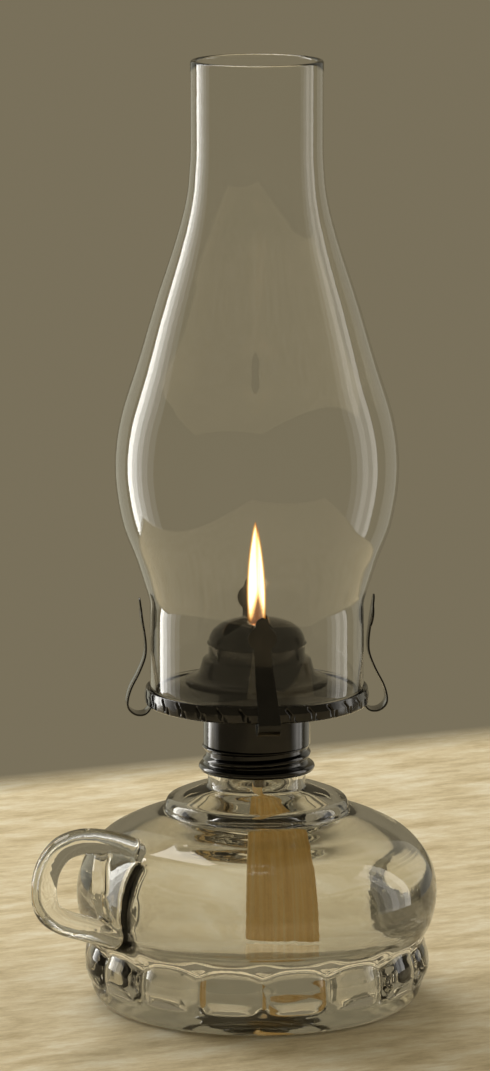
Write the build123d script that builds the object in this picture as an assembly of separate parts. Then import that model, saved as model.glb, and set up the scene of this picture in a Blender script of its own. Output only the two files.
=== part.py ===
"""Finger lamp: a pressed-glass oil font, a flat-wick burner with four spring prongs, and a glass chimney.

Millimetres, +Z up. The origin is on the lamp's axis at the height of the table. The wick, its slot and the
raiser shaft run along Y, with the thumb wheel at +Y. The prongs stand at -Y, +X, +Y and -X.
"""

import os
from math import atan2, cos, pi, sin

from build123d import *

# ---- font: the glass foot, bowl, shoulder ring, neck and finger handle ----
foot_rest_radius = 54.0
foot_ledge_height = 9.5
lobe_count = 16
lobe_first_angle = -82.0
lobe_radius = 62.0
lobe_curve = 22.0
waist_radius = 59.6
waist_height = 23.5
bowl_radius = 64.6
bowl_height = 41.0
bowl_wall = 4.0
bowl_floor = 27.0
ring_radius = 32.9
ring_height = 71.0
ring_top_height = 78.4
neck_radius = 17.5
neck_wall = 4.0
neck_bore = neck_radius - neck_wall
neck_top = 86.0
handle_angle = 217.5
handle_reach = 101.3
handle_section = 9.2
handle_top = 71.2
handle_foot = 29.5
handle_web = 8.0

# ---- collar: the threaded ring cemented on the neck ----
collar_top = 93.6
collar_step = 1.0
collar_radius = neck_radius + collar_step
collar_wall = 0.65
bead_reach = 2.2
collar_bead_radius = collar_radius + bead_reach
collar_bead = 1.35
cement_gap = 0.7
thread_pitch = 4.75
thread_depth = 0.65

# ---- burner ----
seat_height = 113.5
sheet = 0.55
shell_step = 0.6
shell_radius = collar_radius + shell_step
shoulder_gap = 0.2
thread_clearance = 0.25
gallery_margin = 1.9
gallery_drop = 3.9
gallery_notches = 30
plateau_margin = 6.1
plateau_radius = shell_radius + plateau_margin
plateau_rise = 3.0
wick_width = 19.0
wick_thick = 2.2
wick_clearance = 0.3
wick_twist = 68.0
tube_wall = 0.4
tube_top = seat_height + 20.5
tube_bottom = 80.0
wick_top = seat_height + 22.3
wick_bottom = 39.0
wick_lead = 8.0
wick_straight_top = 52.0
raiser_height = 100.5
shaft_radius = 1.25
shaft_clearance = 0.05
wheel_tip = 4.85
wheel_root = 3.9
wheel_teeth = 14
wheel_thick = 0.8
wheel_offset = 4.5
thumb_radius = 7.5
thumb_thick = 2.4
thumb_margin = 8.3
thumb_notches = 36

# ---- cone: the domed draught deflector ----
dome_radius = 17.2
dome_base = 15.2
dome_rise = 10.1
band_base = 10.6
cone_step = 2.1
cone_shoulder = dome_radius + cone_step
cone_overlap = 0.4
cone_radius = plateau_radius + cone_overlap
cone_gap = 0.35
slot_play_along = 2.5
slot_length = wick_width + slot_play_along
slot_play_across = 5.2
slot_width = wick_thick + slot_play_across

# ---- prongs ----
prong_sheet = 0.6
prong_gap = 1.2
prong_reach = 6.1
prong_top = 33.6
prong_width = 8.0
prong_neck = 6.0
prong_head = 10.2

# ---- chimney ----
chimney_radius = 38.1
chimney_wall = 1.9
chimney_crease = 32.0
chimney_swell = 12.25
chimney_belly_height = 79.0
chimney_throat = 23.45
chimney_throat_height = 190.0
chimney_waist_height = 118.0
chimney_height = 224.0

chimney_belly = chimney_radius + chimney_swell
gallery_radius = chimney_radius + gallery_margin
hole_row_in = 2.1
hole_row_out = 4.5
prong_near = chimney_radius + prong_gap + prong_sheet / 2
prong_loop = gallery_radius + prong_reach
wheel_axis_x = wick_thick / 2 + wheel_tip + 0.15
thumb_place = gallery_radius + thumb_margin
shell_inner = shell_radius - sheet
shell_bottom = collar_top + shoulder_gap
plateau_height = seat_height + plateau_rise


def turned(points):
    """A solid of revolution from the corners (radius, height) of its outline."""
    face = make_face(Polyline(*[(r, 0, z) for r, z in points], close=True))
    return revolve(face, Axis.Z)


def shifted(points, distance):
    """The points of a line in a plane, each moved sideways to its left by a distance."""
    moved = []
    for i, (x, y) in enumerate(points):
        before = points[max(i - 1, 0)]
        after = points[min(i + 1, len(points) - 1)]
        first = atan2(y - before[1], x - before[0]) if i else None
        second = atan2(after[1] - y, after[0] - x) if i < len(points) - 1 else first
        first = second if first is None else first
        middle = atan2(sin(first) + sin(second), cos(first) + cos(second))
        reach = distance / max(cos((second - first) / 2), 0.3)
        moved.append((x - reach * sin(middle), y + reach * cos(middle)))
    return moved


def pressed(points, thick=sheet):
    """The outline of thin sheet whose middle follows the points."""
    return shifted(points, thick / 2) + shifted(points, -thick / 2)[::-1]


def polar(count, start=0.0):
    """Evenly spaced places round the axis."""
    return [Rot(0, 0, start + i * 360 / count) for i in range(count)]


def edge(points, **more):
    """A smooth edge through points (radius, height)."""
    return Spline(*[(r, 0, z) for r, z in points], **more)


def straight(*points):
    """Straight edges through points (radius, height)."""
    return Polyline(*[(r, 0, z) for r, z in points])


def spun(*lines):
    """A solid of revolution from joined edges that close on themselves."""
    edges = []
    for line in lines:
        edges += line.edges()
    return revolve(make_face(edges), Axis.Z)


def strap(width, thick):
    """The flat, round-ended cross-section of the wick and its tube, long along Y."""
    return Rot(0, 0, 90) * SlotOverall(width, thick)


def lobed_outline():
    """Sixteen overlapping arcs, the plan of the pressed foot."""
    plan = Circle(waist_radius - 3)
    for place in polar(lobe_count, lobe_first_angle):
        plan += place * Pos(lobe_radius - lobe_curve, 0) * Circle(lobe_curve)
    return plan


def foot():
    """The foot: a plain rounded base with a band of convex lobes above a small ledge."""
    ledge = (lobe_radius - 2.6, foot_ledge_height)
    neck = (waist_radius - 0.6, waist_height)
    base = spun(
        straight((0, neck[1]), (0, 0), (foot_rest_radius, 0)),
        edge([(foot_rest_radius, 0), (57.6, 2.6), (lobe_radius - 3.0, 6.5), ledge]),
        straight(ledge, neck, (0, neck[1])),
    )
    low = (lobe_radius - 1.5, foot_ledge_height)
    high = (waist_radius, waist_height)
    band = spun(
        straight((45, high[1]), (45, low[1]), low),
        edge([low, (lobe_radius, 14.0), (lobe_radius - 0.5, 18.5), high]),
        straight(high, (45, high[1])),
    )
    return base + (band & extrude(lobed_outline(), waist_height + 5))


def bowl():
    """The outside of the bowl, shoulder ring and neck, solid."""
    crease = (ring_radius - 1.0, ring_height - 1.5)
    top = (neck_radius, ring_top_height)
    return spun(
        straight((0, neck_top), (0, waist_height - 3), (waist_radius, waist_height - 3)),
        straight((waist_radius, waist_height - 3), (waist_radius, waist_height)),
        edge(
            [
                (waist_radius, waist_height),
                (bowl_radius - 1.5, 31.0),
                (bowl_radius, bowl_height),
                (bowl_radius - 2.5, 51.0),
                (55.2, 59.8),
                (46.0, 65.2),
                (38.0, 68.1),
                crease,
            ]
        ),
        edge([crease, (ring_radius, ring_height), (ring_radius - 3.6, 74.8), (24.0, 77.0), top]),
        straight(top, (neck_radius, neck_top), (0, neck_top)),
    )


def oil_space():
    """The hollow that holds the oil, from the bowl's floor up through the neck."""
    widest = (bowl_radius - bowl_wall, bowl_height + 0.5)
    mouth = (neck_bore, ring_top_height)
    return spun(
        straight((0, neck_top + 1), (0, bowl_floor), (38.0, bowl_floor)),
        edge(
            [
                (38.0, bowl_floor),
                (52.0, bowl_floor + 2.2),
                (59.0, 34.5),
                widest,
                (bowl_radius - bowl_wall - 2.3, 49.5),
                (51.6, 56.6),
                (43.0, 61.4),
                (33.0, 64.8),
                (24.0, 69.5),
                (16.5, 74.8),
                mouth,
            ],
            tangents=[(1, 0, 0), (0, 0, 1)],
        ),
        straight(mouth, (neck_bore, neck_top + 1), (0, neck_top + 1)),
    )


def handle():
    """The finger loop and the web that fuses it to the bowl, in the plane of its angle."""
    root = waist_radius - 12.0
    run = FilletPolyline(
        (root, 0, handle_top - 10.5),
        (78.0, 0, handle_top + 0.3),
        (handle_reach, 0, handle_top - 4.0),
        (handle_reach - 1.0, 0, handle_foot + 18.0),
        (root, 0, handle_foot - 3.0),
        radius=[20.0, 11.0, 13.0],
    )
    section = Plane(origin=run @ 0, z_dir=run % 0) * Circle(handle_section / 2)
    loop = sweep(section, path=run)
    corners = [
        (root, handle_top - 9.5),
        (66, handle_top - 2.5),
        (72.5, handle_top - 3.5),
        (75.5, handle_top - 9),
        (76.0, handle_foot + 18),
        (72.0, handle_foot + 9),
        (64.0, handle_foot + 2),
        (root, handle_foot),
    ]
    outline = make_face(Polyline(*[(u, 0, z) for u, z in corners], close=True))
    web = extrude(outline, handle_web / 2, both=True)
    return Rot(0, 0, handle_angle) * (loop + web)


def font():
    return foot() + bowl() + handle() - oil_space()


def thread(radius, depth, low, high, start_angle):
    """A rounded right-hand ridge that winds up the outside of a sleeve."""
    half = thread_pitch * 0.24
    path = Helix(pitch=thread_pitch, height=high - low, radius=radius, center=(0, 0, low))
    bite = 0.3
    outline = Polyline((-bite, half), (-bite, -half)) + ThreePointArc(
        (-bite, -half), (depth, 0), (-bite, half)
    )
    across = Plane(origin=path @ 0, x_dir=(1, 0, 0), z_dir=path % 0)
    ridge = sweep(across * make_face(outline), path=path, is_frenet=True)
    return Rot(0, 0, start_angle) * ridge


def collar():
    """A sleeve with a rolled thread, above a skirt and bead that grip the glass neck."""
    inner = collar_radius - collar_wall
    skirt = neck_radius + cement_gap
    bead_height = neck_top - 0.6
    low = bead_height - collar_bead
    wall = make_face(
        Polyline(
            (inner, collar_top),
            (inner, neck_top + 1.0),
            (skirt, neck_top + 0.6),
            (skirt, low + 0.2),
            (collar_bead_radius - collar_bead, low + 0.2),
            (collar_bead_radius - collar_bead, neck_top + 0.9),
            (collar_radius, neck_top + 1.8),
            (collar_radius, collar_top),
            close=True,
        )
    )
    wall += Pos(collar_bead_radius - collar_bead, bead_height) * Circle(collar_bead)
    wall += Pos(collar_radius - 0.1, collar_top - 0.5) * Circle(0.5)
    wall -= Pos(skirt / 2, bead_height) * Rectangle(skirt, 2 * collar_bead)
    ridge = thread(collar_radius, thread_depth, neck_top + 2.0, collar_top - 1.6, 150.0)
    return revolve(Plane.XZ * wall, Axis.Z) + ridge


def collar_cement():
    """The plaster that fills the space between the neck and the collar's skirt."""
    low = neck_top - 0.6 - collar_bead + 0.4
    ring = Circle(neck_radius + cement_gap) - Circle(neck_radius)
    return Pos(0, 0, low) * extrude(ring, neck_top - low)


def tube_slot(extra=0.0):
    """A cutter for the holes that the wick tube passes through."""
    tube = 2 * (wick_clearance + tube_wall + extra)
    return extrude(strap(wick_width + tube, wick_thick + tube), 400)


def screw_skirt():
    """The cup that screws into the collar: threaded wall, top flange, and a floor with the tube's slot."""
    crest = collar_radius - collar_wall - thread_clearance
    root = crest - 0.5
    low = neck_top + 1.1
    cup = turned(
        [
            (0, low),
            (root, low),
            (root, shell_bottom),
            (shell_inner, shell_bottom),
            (shell_inner, shell_bottom + sheet),
            (root - sheet, shell_bottom + sheet),
            (root - sheet, low + sheet),
            (0, low + sheet),
        ]
    )
    ridge = thread(root, crest - root, low + 1.3, shell_bottom - 1.3, 150.0)
    return cup + ridge - tube_slot()


def burner_shell():
    """The plain drum between the collar and the gallery, bored for the raiser's bush."""
    wall = Circle(shell_radius) - Circle(shell_inner)
    drum = Pos(0, 0, shell_bottom) * extrude(wall, plateau_height - sheet - shell_bottom)
    bore = Pos(wheel_axis_x, 0, raiser_height) * Rot(-90, 0, 0) * Cylinder(
        bush_radius(), 30, align=(Align.CENTER, Align.CENTER, Align.MIN)
    )
    return drum - bore


def bush_radius():
    return shaft_radius + shaft_clearance + 1.1


def shaft_bush():
    """The short sleeve in the drum's wall that the raiser shaft turns in."""
    ring = Circle(bush_radius()) - Circle(shaft_radius + shaft_clearance)
    start = shell_inner - 2.4
    return Pos(wheel_axis_x, start, raiser_height) * Rot(-90, 0, 0) * extrude(ring, 5.2)


def gallery():
    """The dish that carries the chimney: collar, plateau, slope, seat, lip and a notched, folded rim."""
    inside = shell_inner - sheet / 2
    rim_low = seat_height - gallery_drop
    lip = chimney_radius + 0.9
    middle = [
        (inside, seat_height - 6.0),
        (inside, plateau_height - sheet / 2),
        (plateau_radius, plateau_height - sheet / 2),
        (chimney_radius - chimney_wall - 1.0, seat_height - 0.35),
        (lip - 0.35, seat_height - 0.35),
        (lip, seat_height + 0.55),
        (gallery_radius - sheet / 2, seat_height - 1.3),
        (gallery_radius - sheet / 2, rim_low + 0.9),
        (gallery_radius - 1.3, rim_low + sheet / 2),
    ]
    dish = turned(pressed(middle))
    notch = Pos(gallery_radius + 0.1, 0, seat_height - 1.2) * Rot(35, 0, 0) * Box(0.7, 0.9, 3.0)
    for place in polar(gallery_notches, 360 / gallery_notches / 2):
        dish -= place * notch
    for radius, first in ((shell_radius + hole_row_in, 0), (shell_radius + hole_row_out, 6)):
        hole = Pos(radius, 0, plateau_height) * Cylinder(0.75, 3)
        for place in polar(30, first):
            dish -= place * hole
    return dish


def air_diffuser():
    """A pierced disc round the wick tube that steadies the air on its way up into the cone."""
    disc = Circle(shell_inner - sheet)
    for radius, count in ((6.5, 10), (10.5, 18), (14.5, 26)):
        for place in polar(count, 180 / count):
            disc -= place * Pos(radius, 0) * Circle(0.8)
    plate = Pos(0, 0, seat_height - 4.0) * extrude(disc, sheet)
    return plate - tube_slot()


def wick_tube():
    """The flat tube that holds the wick upright, with two windows for the spiked wheels."""
    inner = strap(wick_width + 2 * wick_clearance, wick_thick + 2 * wick_clearance)
    outer = strap(
        wick_width + 2 * (wick_clearance + tube_wall), wick_thick + 2 * (wick_clearance + tube_wall)
    )
    tube = Pos(0, 0, tube_bottom) * extrude(outer - inner, tube_top - tube_bottom)
    for side in (-1, 1):
        window = Box(2.4, wheel_thick + 1.0, 2 * wheel_root)
        tube -= Pos(wick_thick / 2 + 1.2, side * wheel_offset, raiser_height) * window
    return tube


def ratchet_cover():
    """The box on the side of the wick tube that encloses the spiked wheels and carries the shaft."""
    near = wick_thick / 2 + wick_clearance + tube_wall
    far = wheel_axis_x + wheel_tip + 0.6
    long, tall = 2 * (wheel_offset + 4.0), 2 * (wheel_tip + 0.5)
    centre = Pos((near + far) / 2, 0, raiser_height)
    box = centre * Box(far - near, long, tall)
    hollow = centre * Pos(-sheet, 0, 0) * Box(far - near, long - 2 * sheet, tall - 2 * sheet)
    axle = Pos(wheel_axis_x, 0, raiser_height) * Rot(90, 0, 0) * Cylinder(
        shaft_radius + shaft_clearance, long + 2
    )
    return box - hollow - axle


def raiser_shaft():
    """The wire shaft from the inner bearing out to the thumb wheel."""
    start = -(wheel_offset + 5.2)
    length = thumb_place + thumb_thick + 0.6 - start
    return Pos(wheel_axis_x, start, raiser_height) * Rot(-90, 0, 0) * extrude(
        Circle(shaft_radius), length
    )


def spiked_wheel(side):
    """One of the two star wheels that bite on the face of the wick."""
    corners = []
    for i in range(wheel_teeth):
        for turn, radius in ((0.0, wheel_tip), (0.5, wheel_root)):
            angle = 2 * pi * (i + turn) / wheel_teeth
            corners.append((radius * cos(angle), radius * sin(angle)))
    star = make_face(Polyline(*corners, close=True)) - Circle(shaft_radius)
    disc = extrude(star, wheel_thick / 2, both=True)
    return Pos(wheel_axis_x, side * wheel_offset, raiser_height) * Rot(-90, 0, 0) * disc


def thumb_wheel():
    """The milled disc and hub that the fingers turn."""
    rim = Circle(thumb_radius)
    for place in polar(thumb_notches):
        rim -= place * Pos(thumb_radius + 0.12, 0) * Circle(0.42)
    wheel = extrude(rim - Circle(shaft_radius), thumb_thick)
    groove = Pos(0, 0, thumb_thick) * extrude(Circle(thumb_radius - 1.3) - Circle(3.0), -0.6)
    hub = Pos(0, 0, -1.0) * extrude(Circle(2.6) - Circle(shaft_radius), 1.0)
    whole = wheel - groove + hub
    return Pos(wheel_axis_x, thumb_place, raiser_height) * Rot(-90, 0, 0) * whole


def wick():
    """The woven strap: upright in the tube, turning part of the way round as it hangs in the oil."""
    section = strap(wick_width, wick_thick)
    turn_top, turn_bottom = tube_bottom - wick_lead, wick_straight_top
    upper = Pos(0, 0, turn_top) * extrude(section, wick_top - turn_top)
    outline = section.face().outer_wire().moved(Location((0, 0, turn_bottom)))
    outline = outline.rotate(Axis.Z, wick_twist)
    twisted = Solid.extrude_linear_with_rotation(
        outline, (0, 0, turn_bottom), (0, 0, turn_top - turn_bottom), -wick_twist
    )
    lower = Rot(0, 0, wick_twist) * Pos(0, 0, wick_bottom) * extrude(
        section, turn_bottom - wick_bottom
    )
    return upper + twisted + lower


def deflector():
    """The cone over the wick tube: a slotted dome on a straight band, a shoulder and a flared skirt."""
    base = seat_height + dome_base
    dome = [(dome_radius * sin(a), base + dome_rise * cos(a)) for a in steps(0.0, pi / 2, 8)]
    low = plateau_height + cone_gap + sheet
    skirt = [
        (dome_radius, seat_height + band_base),
        (cone_shoulder, seat_height + band_base - 0.6),
        (cone_shoulder + 0.5, seat_height + 8.0),
        (cone_shoulder + 1.6, seat_height + 6.0),
        (cone_shoulder + 3.4, seat_height + 4.5),
        (cone_radius, low),
    ]
    shape = turned([(0, base + dome_rise - sheet)] + shell_loop(dome + skirt))
    bead = Pos(0, 0, base - 0.3) * Torus(dome_radius + 0.1, 0.45)
    shape += bead
    slot = strap(slot_length, slot_width)
    shape -= Pos(0, 0, base) * extrude(slot, 30)
    for turn in (0, 180):
        hole = Pos(-7.6, -2.1) * Rot(0, 0, 54) * Ellipse(7.0, 3.5)
        shape -= Rot(0, 0, turn) * Pos(0, 0, base) * extrude(hole, 30)
    return shape


def steps(first, last, count):
    return [first + (last - first) * i / count for i in range(count + 1)]


def shell_loop(points):
    """The outline of thin sheet whose outer face follows the points, closed on the axis at its start."""
    inner = shifted(points, -sheet)
    inner[0] = (0, points[0][1] - sheet)
    return (points + inner[::-1])[:-1]


def prong():
    """One spring prong, at +X: a strip looped under the rim, bowed in to the glass, with a lobed head."""
    seat, rim = seat_height, gallery_radius
    path = [
        (rim - 7.4, seat - 1.55),
        (rim - 4.2, seat - 1.75),
        (rim - 2.7, seat - 3.3),
        (rim - 1.7, seat - 6.4),
        (rim + 0.3, seat - 8.3),
        (rim + 3.2, seat - 8.2),
        (prong_loop - 0.5, seat - 6.2),
        (prong_loop, seat - 3.4),
        (prong_loop - 1.2, seat + 1.2),
        (prong_near + 2.3, seat + 7.2),
        (prong_near + 0.3, seat + 12.5),
        (prong_near, seat + 17.0),
        (prong_near + 0.7, seat + 23.0),
        (prong_near + 2.2, seat + prong_top),
    ]
    left, right = shifted(path, prong_sheet / 2), shifted(path, -prong_sheet / 2)
    side = spline_face(left, right)
    strip = extrude(side, prong_head, both=True)
    return strip & extrude(Plane.YZ * prong_front(), 60)


def spline_face(left, right):
    """A face between two smooth lines in the XZ plane, with straight ends."""
    edges = [
        edge(left),
        straight(left[-1], right[-1]),
        edge(right[::-1]),
        straight(right[0], left[0]),
    ]
    return make_face([part.edge() for part in edges])


def prong_front():
    """The prong seen from outside: a strip that narrows to a neck, a round head and a small tip."""
    seat = seat_height
    half_low, half_neck = prong_width / 2, prong_neck / 2
    strip = make_face(
        Polyline(
            (-half_low, seat - 12),
            (half_low, seat - 12),
            (half_low, seat - 4),
            (half_neck, seat + 20),
            (half_neck, seat + 27),
            (-half_neck, seat + 27),
            (-half_neck, seat + 20),
            (-half_low, seat - 4),
            close=True,
        )
    )
    head = Pos(0, seat + 25.8) * Ellipse(prong_head / 2, 4.6)
    tip = Pos(0, seat + prong_top - 3.4) * Ellipse(2.5, 3.9)
    return strip + head + tip


def chimney_outline():
    """The outside of the glass from its foot to its mouth, as (radius, height above the seat)."""
    belly, throat = chimney_belly, chimney_throat
    drop = belly - throat
    return [
        (chimney_radius, chimney_crease),
        (chimney_radius + 0.375 * chimney_swell, 46.3),
        (belly - 2.4, 61.0),
        (belly, chimney_belly_height),
        (belly - 1.9, 97.0),
        (throat + 0.69 * drop, chimney_waist_height),
        (throat + 0.452 * drop, 139.5),
        (throat + 0.191 * drop, 161.0),
        (throat + 0.05 * drop, 176.0),
        (throat, chimney_throat_height),
    ]


def chimney():
    """The blown glass: a straight foot, a sharp crease, a pear-shaped belly and a straight throat."""
    outer = [(r, seat_height + z) for r, z in chimney_outline()]
    inner = shifted(outer, chimney_wall)
    foot_in = chimney_radius - chimney_wall
    throat_in = chimney_throat - chimney_wall
    inner[0] = (foot_in, inner[0][1])
    inner[-1] = (throat_in, inner[-1][1])
    top = seat_height + chimney_height
    rise, lean = (0, 0, 1), (0.42, 0, 1)
    glass = spun(
        straight((foot_in, inner[0][1]), (foot_in, seat_height), (chimney_radius, seat_height)),
        straight((chimney_radius, seat_height), outer[0]),
        edge(outer, tangents=[lean, rise]),
        straight(outer[-1], (chimney_throat, top), (throat_in, top)),
        straight((throat_in, top), inner[-1]),
        edge(inner[::-1], tangents=[(0, 0, -1), (-0.42, 0, -1)]),
    )
    ends = glass.edges().filter_by(GeomType.CIRCLE)
    ends = ends.filter_by_position(Axis.Z, top - 0.1, top + 0.1) + ends.filter_by_position(
        Axis.Z, seat_height - 0.1, seat_height + 0.1
    )
    return fillet(ends, chimney_wall * 0.42)


def chimney_parts():
    """The blown glass cut into four stacked lengths, each of a simple shape."""
    glass = chimney()
    wide = 3 * chimney_belly
    levels = [0.0, chimney_crease, chimney_waist_height, chimney_throat_height, chimney_height]
    lengths = {}
    for name, low, high in zip(("foot", "belly", "shoulder", "throat"), levels, levels[1:]):
        slab = Pos(0, 0, seat_height + (low + high) / 2) * Box(wide, wide, high - low)
        lengths["chimney_" + name] = glass & slab
    return lengths


def main():
    os.makedirs("parts", exist_ok=True)
    nodes = {
        "font": font(),
        "collar": collar(),
        "collar_cement": collar_cement(),
        "screw_skirt": screw_skirt(),
        "burner_shell": burner_shell(),
        "shaft_bush": shaft_bush(),
        "gallery": gallery(),
        "air_diffuser": air_diffuser(),
        "wick_tube": wick_tube(),
        "ratchet_cover": ratchet_cover(),
        "raiser_shaft": raiser_shaft(),
        "spiked_wheel_front": spiked_wheel(-1),
        "spiked_wheel_back": spiked_wheel(1),
        "thumb_wheel": thumb_wheel(),
        "wick": wick(),
        "deflector": deflector(),
    }
    nodes.update(chimney_parts())
    for name, angle in (("right", 0), ("back", 90), ("left", 180), ("front", 270)):
        nodes["prong_" + name] = Rot(0, 0, angle) * prong()
    for name, shape in nodes.items():
        export_step(shape, "parts/" + name + ".step")


main()
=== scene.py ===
"""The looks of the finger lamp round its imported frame: glass, plated metal, wick, oil and flame.

Metres, +Z up, in the same frame as the CAD part. Heights of the burner are counted from the chimney's seat.
"""

from math import cos, pi, radians, sin

import bmesh
import bpy
import numpy as np
from mathutils import Euler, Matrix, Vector


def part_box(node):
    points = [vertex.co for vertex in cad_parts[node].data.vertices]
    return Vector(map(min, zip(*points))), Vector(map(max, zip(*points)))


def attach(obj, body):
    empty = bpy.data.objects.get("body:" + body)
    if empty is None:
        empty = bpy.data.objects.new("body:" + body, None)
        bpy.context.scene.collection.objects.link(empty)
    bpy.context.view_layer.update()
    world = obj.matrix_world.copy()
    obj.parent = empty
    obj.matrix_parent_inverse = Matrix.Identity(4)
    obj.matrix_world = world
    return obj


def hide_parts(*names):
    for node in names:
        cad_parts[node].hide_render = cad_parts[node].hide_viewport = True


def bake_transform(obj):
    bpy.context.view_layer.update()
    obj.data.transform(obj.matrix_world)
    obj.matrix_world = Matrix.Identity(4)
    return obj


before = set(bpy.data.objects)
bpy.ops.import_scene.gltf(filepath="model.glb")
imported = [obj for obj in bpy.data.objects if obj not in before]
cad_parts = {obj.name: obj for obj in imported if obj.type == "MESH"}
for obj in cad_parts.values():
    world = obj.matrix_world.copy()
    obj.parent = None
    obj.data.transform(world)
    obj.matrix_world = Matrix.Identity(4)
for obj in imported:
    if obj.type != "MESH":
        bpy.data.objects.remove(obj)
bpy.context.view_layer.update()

MM = 0.001
TURN = 2 * pi

# ---- places read from the frame ----
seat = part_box("chimney_foot")[0].z
glass_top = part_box("chimney_throat")[1].z
foot_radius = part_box("chimney_foot")[1].x
throat_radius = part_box("chimney_throat")[1].x
belly_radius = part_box("chimney_belly")[1].x
neck_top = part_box("font")[1].z
bowl_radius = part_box("font")[1].x
rim_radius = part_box("gallery")[1].x
rim_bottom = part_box("gallery")[0].z
rim_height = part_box("gallery")[1].z - seat
dome_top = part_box("deflector")[1].z
cone_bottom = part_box("deflector")[0].z
cone_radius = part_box("deflector")[1].x
shell_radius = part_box("burner_shell")[1].x
collar_low, collar_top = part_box("collar")[0].z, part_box("collar")[1].z
wick_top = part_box("wick")[1].z

# ---- the camera and the room ----
camera_turn = radians(-5.5)
camera_pitch = radians(10.1)
camera_yaw = radians(0.1146)
camera_distance = 2.0938
camera_height = 0.5416
camera_lens = 201.7
table_edge_turn = radians(26.1)
table_edge_distance = 0.363
table_edge_soft = 0.018
table_half_width = 0.36
table_front = -0.62
wall_colour = (0.190, 0.162, 0.103)

# ---- pressed glass ----
lobe_count = 16
lobe_first_angle = radians(-82.0)
ledge_height = 9.5 * MM
waist_height = 23.5 * MM
lobe_depth = 3.2 * MM
lobe_arch = 2.0 * MM
foot_hollow = 12.0 * MM
bowl_wall = 4.0 * MM
bowl_floor = 27.0 * MM
neck_radius = 17.5 * MM
neck_bore = 13.5 * MM
handle_angle = radians(217.5)
handle_section = 4.6 * MM
web_half = 4.0 * MM
voxel = 0.85 * MM
oil_level = 66.0 * MM
oil_overlap = 0.05 * MM

# ---- pressed metal ----
sheet = 0.55 * MM
rim_segments = 30
thread_pitch = 4.75 * MM
thread_start = 88.0 * MM
thread_depth = 1.1 * MM
thread_valley = 0.35 * MM
collar_radius = 18.5 * MM
flange_radius = 20.7 * MM
prong_sheet = 0.6 * MM
prong_steps = 14
prong_columns = 13
dome_lift = 2.2 * MM
wick_half_width = 9.5 * MM
wick_half_thick = 1.1 * MM
wick_twist = radians(68.0)
wick_tail = 27.6 * MM
wick_drift = 6.5 * MM
twist_low, twist_high = 52.0 * MM, 72.0 * MM


# ================= mesh helpers =================


def add_mesh(name, points, faces, smooth=True):
    """A new object from points and faces, with outward normals and no doubled points."""
    mesh = bpy.data.meshes.new(name)
    mesh.from_pydata([tuple(p) for p in points], [], [tuple(int(i) for i in f) for f in faces])
    work = bmesh.new()
    work.from_mesh(mesh)
    bmesh.ops.remove_doubles(work, verts=work.verts, dist=1e-7)
    bmesh.ops.dissolve_degenerate(work, edges=work.edges, dist=1e-8)
    bmesh.ops.recalc_face_normals(work, faces=work.faces)
    work.to_mesh(mesh)
    work.free()
    mesh.polygons.foreach_set("use_smooth", [smooth] * len(mesh.polygons))
    obj = bpy.data.objects.new(name, mesh)
    bpy.context.scene.collection.objects.link(obj)
    return obj


def grid_faces(rows, columns, wrap_rows=False, wrap_columns=True):
    """The quads of a grid of points, rows by columns, that closes on itself where asked."""
    last_row = rows if wrap_rows else rows - 1
    last_column = columns if wrap_columns else columns - 1
    i, j = np.meshgrid(np.arange(last_row), np.arange(last_column), indexing="ij")
    below, beside = (i + 1) % rows, (j + 1) % columns
    quads = [i * columns + j, i * columns + beside, below * columns + beside, below * columns + j]
    return np.stack([q.ravel() for q in quads], 1)


def smooth_line(points, steps=8):
    """A smooth line through points."""
    p = np.array(points, float)
    p = np.vstack([2 * p[0] - p[1], p, 2 * p[-1] - p[-2]])
    t = np.linspace(0, 1, steps, endpoint=False)[:, None]
    out = []
    for a, b, c, d in zip(p, p[1:], p[2:], p[3:]):
        square, cube = 2 * a - 5 * b + 4 * c - d, 3 * b - a - 3 * c + d
        out.append(0.5 * (2 * b + (c - a) * t + square * t**2 + cube * t**3))
    return np.vstack(out + [p[-2:-1]])


def rounded_line(points, radius, steps=5):
    """Straight runs with their corners rounded off."""
    p = np.array(points, float)
    out = [p[0]]
    for a, b, c in zip(p, p[1:], p[2:]):
        before, after = a - b, c - b
        reach = min(radius, 0.45 * np.linalg.norm(before), 0.45 * np.linalg.norm(after))
        start = b + before / np.linalg.norm(before) * reach
        end = b + after / np.linalg.norm(after) * reach
        for t in np.linspace(0, 1, steps):
            out.append((1 - t) ** 2 * start + 2 * t * (1 - t) * b + t**2 * end)
    return np.array(out + [p[-1]])


def beside(line, distance):
    """A line moved sideways, to its left."""
    along = np.gradient(line, axis=0)
    along /= np.maximum(np.linalg.norm(along, axis=1), 1e-12)[:, None]
    return line + distance * np.stack([-along[:, 1], along[:, 0]], 1)


def as_sheet(line, thick=sheet):
    """The closed outline of a sheet whose middle is the line."""
    return np.vstack([beside(line, thick / 2), beside(line, -thick / 2)[::-1]])


def lathe(name, outline, segments=192, shape=None):
    """A turned solid from a closed outline of (radius, height). shape may change both by angle."""
    outline = np.array(outline, float)
    angle = np.arange(segments)[None, :] * TURN / segments
    radius = np.repeat(outline[:, :1], segments, 1)
    height = np.repeat(outline[:, 1:], segments, 1)
    if shape:
        radius, height = shape(radius, height, angle)
    points = np.stack([radius * np.cos(angle), radius * np.sin(angle), height], 2).reshape(-1, 3)
    on_axis = outline[0, 0] < 1e-9 and outline[-1, 0] < 1e-9
    return add_mesh(name, points, grid_faces(len(outline), segments, wrap_rows=not on_axis))


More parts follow.
